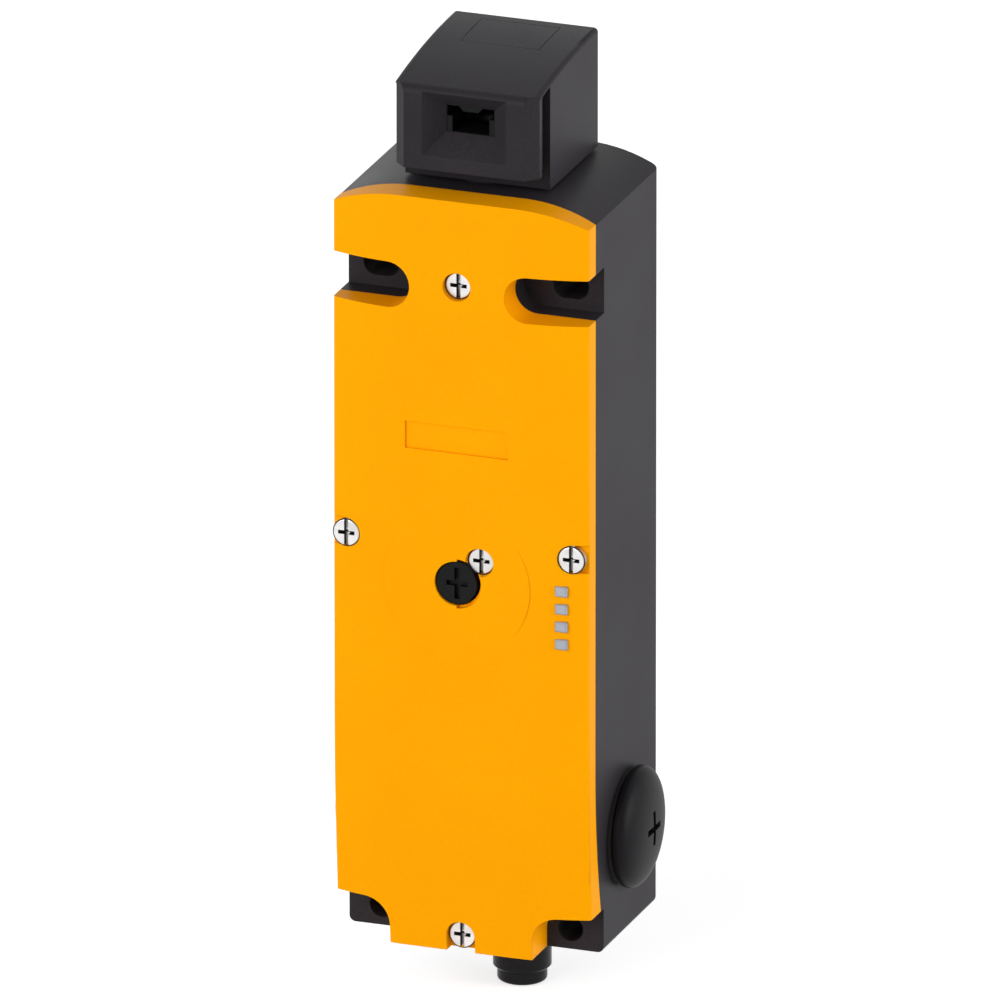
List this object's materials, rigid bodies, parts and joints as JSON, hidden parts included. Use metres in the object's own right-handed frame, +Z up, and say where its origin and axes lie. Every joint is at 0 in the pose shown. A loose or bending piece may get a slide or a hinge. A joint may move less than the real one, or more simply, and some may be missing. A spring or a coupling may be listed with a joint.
{
  "type": "solenoid tongue interlock switch",
  "caption": "Slim upright guard-door interlock switch with solenoid lock, swivelling tongue head, amber front cover, release knob and plug connector.",
  "frame": {"origin": "on the flat back face, at the centre of the fixing hole pattern", "axes": "+Z up towards the tongue head, +Y out of the back face into the machine frame, -Y towards the amber front, +X to the right seen from the front"},
  "size_m": [0.0656, 0.0435, 0.198],
  "materials": {
    "black_pbt": "finely textured moulding",
    "amber_plastic": "smooth satin moulding",
    "black_plastic": "satin moulding",
    "grey_plastic": "plain moulding",
    "clear_plastic": "frosted moulding",
    "black_rubber": "soft matt",
    "plated_steel": "nickel plated",
    "spring_steel": "bright ground",
    "zinc_casting": "satin casting",
    "brass": "turned",
    "contact_copper": "stamped",
    "enamelled_copper": "enamelled wire",
    "circuit_board": "solder mask"
  },
  "bodies": {
    "base": {"housing": "black_pbt", "front_cover": "amber_plastic", "cover_gasket": "black_rubber", "cover_screws": "plated_steel", "led_light_guide": "clear_plastic", "indicator_board": "circuit_board", "indicator_leds": "clear_plastic", "mechanism_chassis": "grey_plastic", "chassis_screws": "plated_steel", "release_bush": "brass", "release_seal": "black_rubber", "position_spring": "spring_steel", "position_contact_block": "grey_plastic", "position_fixed_contacts": "contact_copper", "lock_contact_block": "grey_plastic", "lock_fixed_contacts": "contact_copper", "contact_terminal_screws": "plated_steel", "armature_spring": "spring_steel", "solenoid_frame": "spring_steel", "solenoid_bobbin": "grey_plastic", "solenoid_coil": "enamelled_copper", "solenoid_core": "spring_steel", "blanking_plug_left": "black_plastic", "blanking_plug_right": "black_plastic", "blanking_plug_seals": "black_rubber", "m12_connector_shell": "black_plastic", "m12_insert": "black_plastic", "m12_pins": "brass", "m12_seal": "black_rubber", "terminal_strip": "grey_plastic", "terminal_strip_screws": "plated_steel"},
    "head": {"head_body": "black_pbt", "head_base": "black_pbt", "head_base_screws": "plated_steel", "slot_guide": "black_plastic", "head_top_blank": "black_pbt", "neck_clip": "spring_steel", "neck_seal": "black_rubber", "plunger_bush": "brass", "cam_axle": "spring_steel"},
    "cam": {"cam_wheel": "zinc_casting"},
    "plunger": {"plunger_tube": "spring_steel", "position_carrier": "grey_plastic", "position_bridges": "contact_copper"},
    "lock": {"lock_rod": "spring_steel", "lock_carrier": "grey_plastic", "lock_bridges": "contact_copper", "release_follower": "grey_plastic", "armature": "spring_steel"},
    "release": {"release_knob": "black_plastic", "release_shaft": "black_plastic"}
  },
  "joints": [
    {"name": "head_swivel", "type": "hinge", "parent": "base", "child": "head", "pos_m": [0, -0.02125, 0.0871], "axis": [0, 0, 1], "range_deg": [-90, 180]},
    {"name": "cam_turn", "type": "hinge", "parent": "head", "child": "cam", "pos_m": [0, -0.018, 0.0961], "axis": [-1, 0, 0], "range_deg": [0, 50.05]},
    {"name": "plunger_slide", "type": "slide", "parent": "base", "child": "plunger", "axis": [0, 0, 1], "range_m": [0, 0.00284], "deforming": ["position_spring"]},
    {"name": "release_turn", "type": "hinge", "parent": "base", "child": "release", "pos_m": [0, -0.032, 0.0066], "axis": [0, -1, 0], "range_deg": [0, 90.05]},
    {"name": "lock_slide", "type": "slide", "parent": "base", "child": "lock", "axis": [0, 0, 1], "range_m": [-0.003, 0], "deforming": ["armature_spring"]}
  ],
  "couplings": [
    {"joint": "cam_turn", "follows": "plunger_slide", "rad_per_m": 307.69},
    {"joint": "release_turn", "follows": "lock_slide", "rad_per_m": -523.6}
  ]
}
